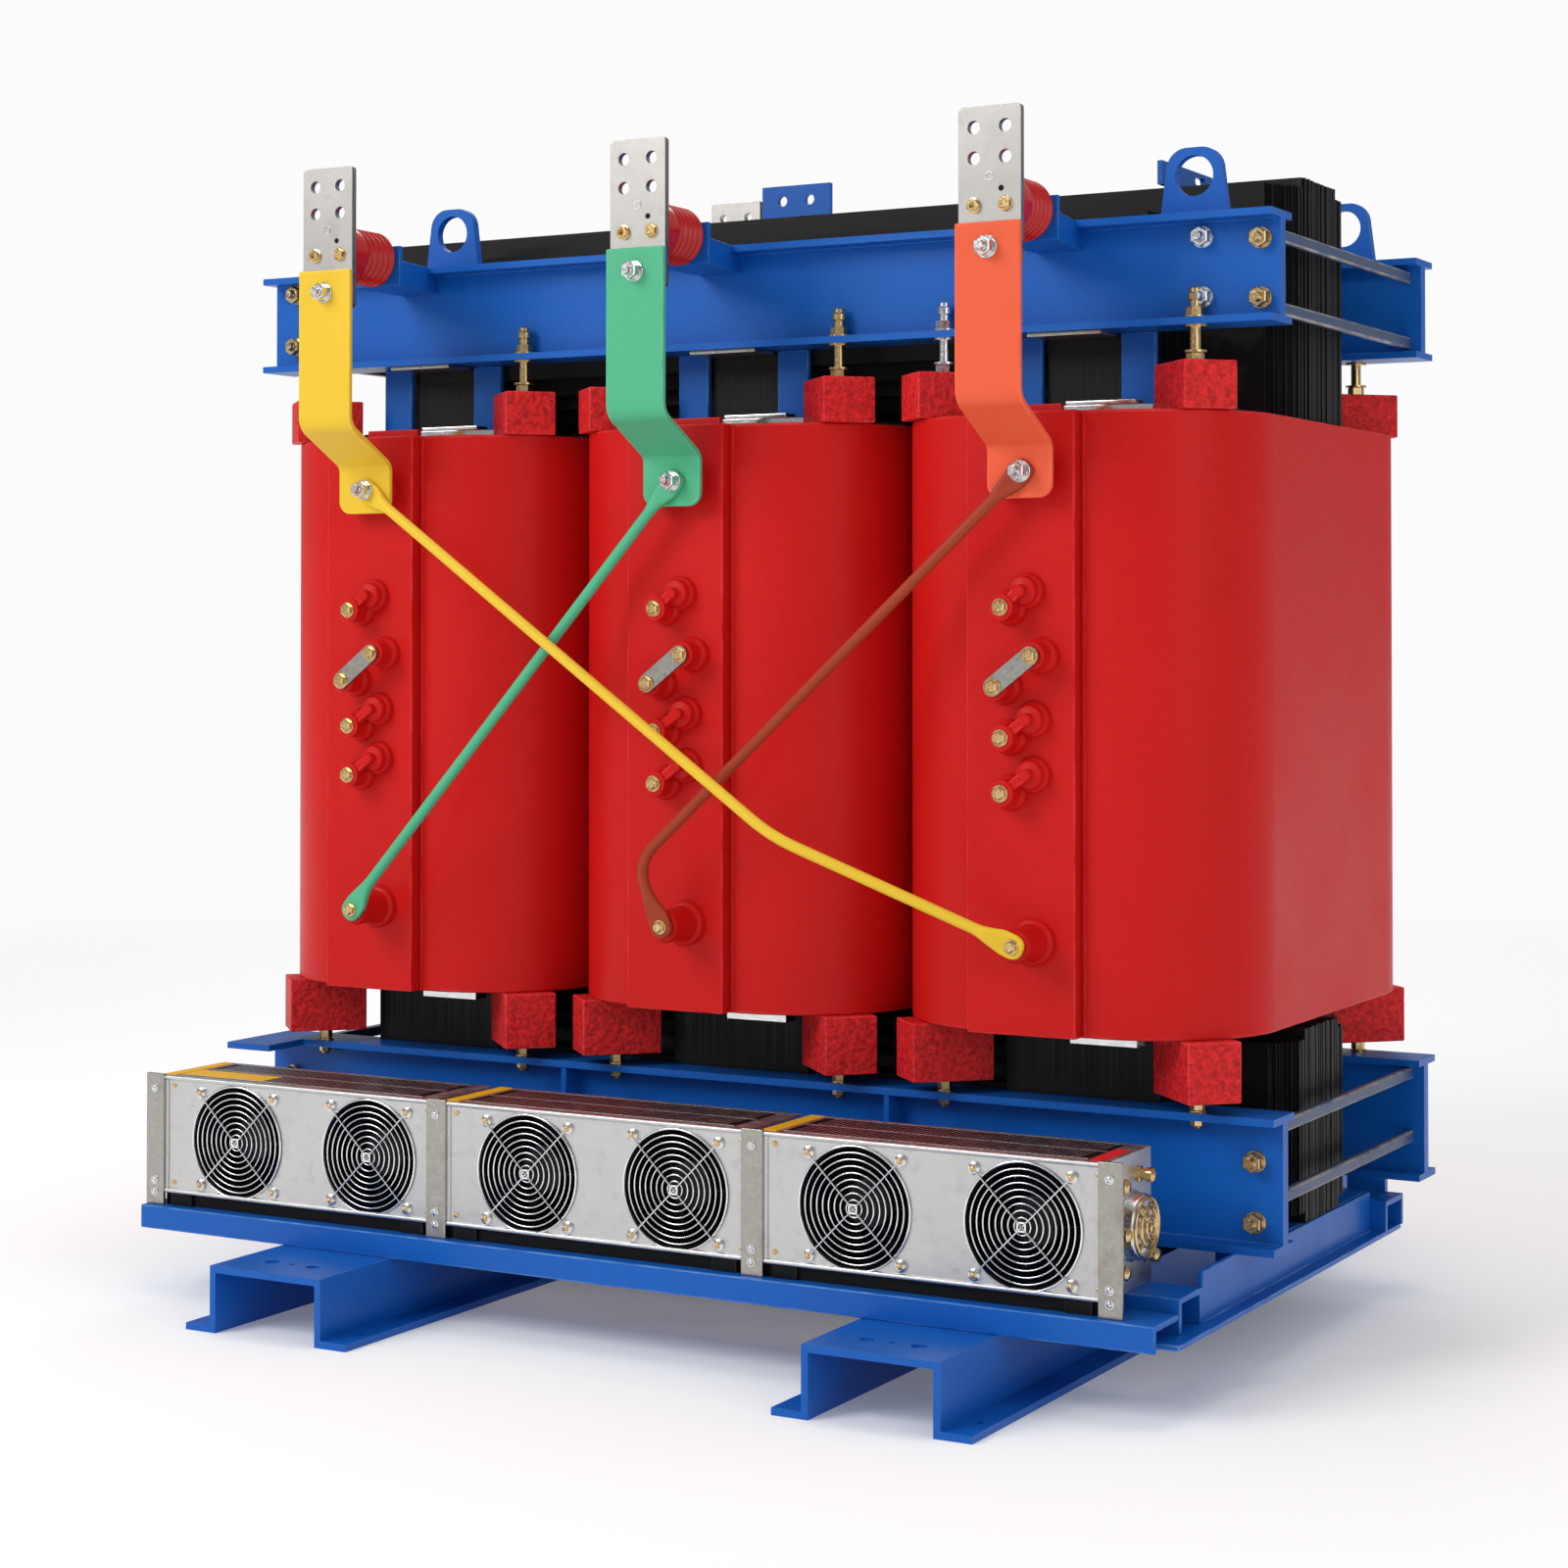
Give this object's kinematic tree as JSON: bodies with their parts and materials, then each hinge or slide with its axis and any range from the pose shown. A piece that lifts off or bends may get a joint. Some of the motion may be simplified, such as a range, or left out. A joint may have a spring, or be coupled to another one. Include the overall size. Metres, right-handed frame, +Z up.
{
  "type": "cast-resin dry-type power transformer",
  "caption": "Three-phase cast-resin dry-type power transformer on skids, with laminated core, blue clamps, delta links and a tray of cooling fans.",
  "frame": {"origin": "floor level, below the centre of the core's middle leg", "axes": "+X along the row of phases to the right as seen from the high-voltage front, +Y from the front to the low-voltage rear, +Z up"},
  "size_m": [1.712, 1.61, 1.768],
  "materials": {
    "blue_paint": "glossy blue paint",
    "core_lamination": "matte black edge paint on stacked sheets",
    "cast_resin": "smooth red cast resin",
    "block_resin": "grained red moulding",
    "silver_foil": "satin foil edge",
    "fan_box_sheet": "brushed sheet",
    "bright_steel": "plated steel",
    "guard_wire": "chromed wire",
    "fan_plastic": "black moulding",
    "brass_fastener": "yellow passivated steel and brass",
    "tinned_bar": "tinned flat bar",
    "insulator_resin": "glossy ribbed moulding",
    "yellow_sleeve": "shrunk sleeve",
    "green_sleeve": "shrunk sleeve",
    "orange_sleeve": "shrunk sleeve",
    "brown_sleeve": "shrunk sleeve"
  },
  "bodies": {
    "transformer": {"base_cross_channel_front": "blue_paint", "base_cross_channel_rear": "blue_paint", "base_end_beam_left": "blue_paint", "base_end_beam_right": "blue_paint", "core_bearers": "blue_paint", "core_leg_left": "core_lamination", "core_leg_middle": "core_lamination", "core_leg_right": "core_lamination", "core_yoke_lower": "core_lamination", "core_yoke_upper": "core_lamination", "end_ties_left": "blue_paint", "end_ties_right": "blue_paint", "fan_box_end_cover": "bright_steel", "fan_box_feet": "fan_plastic", "fan_box_left": "fan_box_sheet", "fan_box_middle": "fan_box_sheet", "fan_box_right": "fan_box_sheet", "fan_box_straps": "bright_steel", "fan_guards": "guard_wire", "fan_tray": "blue_paint", "hv_coil_left": "cast_resin", "hv_coil_middle": "cast_resin", "hv_coil_right": "cast_resin", "hv_terminal_plates": "tinned_bar", "insulator_brackets": "blue_paint", "leg_foot_boards": "core_lamination", "leg_tie_plates_front": "blue_paint", "leg_tie_plates_rear": "blue_paint", "lower_block_studs": "brass_fastener", "lower_clamp_front": "blue_paint", "lower_clamp_rear": "blue_paint", "lower_support_blocks": "block_resin", "lv_bar_supports": "insulator_resin", "lv_coil_left": "silver_foil", "lv_coil_middle": "silver_foil", "lv_coil_right": "silver_foil", "lv_terminal_bars": "tinned_bar", "neutral_plate": "tinned_bar", "phase_bar_left": "yellow_sleeve", "phase_bar_middle": "green_sleeve", "phase_bar_right": "orange_sleeve", "phase_link_brown": "brown_sleeve", "phase_link_green": "green_sleeve", "phase_link_yellow": "yellow_sleeve", "post_insulators": "insulator_resin", "rear_bracket_plate": "blue_paint", "skid_left": "blue_paint", "skid_right": "blue_paint", "slotted_bracket": "blue_paint", "tap_links": "bright_steel", "upper_block_studs": "brass_fastener", "upper_clamp_front": "blue_paint", "upper_clamp_rear": "blue_paint", "upper_support_blocks": "block_resin"},
    "fan_1": {"fan_impeller_1": "fan_plastic"},
    "fan_2": {"fan_impeller_2": "fan_plastic"},
    "fan_3": {"fan_impeller_3": "fan_plastic"},
    "fan_4": {"fan_impeller_4": "fan_plastic"},
    "fan_5": {"fan_impeller_5": "fan_plastic"},
    "fan_6": {"fan_impeller_6": "fan_plastic"}
  },
  "joints": [
    {"name": "fan_1_spin", "type": "hinge", "parent": "transformer", "child": "fan_1", "pos_m": [-0.683, -0.566, 0.236], "axis": [0, -1, 0], "continuous": true},
    {"name": "fan_2_spin", "type": "hinge", "parent": "transformer", "child": "fan_2", "pos_m": [-0.437, -0.566, 0.236], "axis": [0, -1, 0], "continuous": true},
    {"name": "fan_3_spin", "type": "hinge", "parent": "transformer", "child": "fan_3", "pos_m": [-0.158, -0.566, 0.236], "axis": [0, -1, 0], "continuous": true},
    {"name": "fan_4_spin", "type": "hinge", "parent": "transformer", "child": "fan_4", "pos_m": [0.088, -0.566, 0.236], "axis": [0, -1, 0], "continuous": true},
    {"name": "fan_5_spin", "type": "hinge", "parent": "transformer", "child": "fan_5", "pos_m": [0.367, -0.566, 0.236], "axis": [0, -1, 0], "continuous": true},
    {"name": "fan_6_spin", "type": "hinge", "parent": "transformer", "child": "fan_6", "pos_m": [0.613, -0.566, 0.236], "axis": [0, -1, 0], "continuous": true}
  ]
}
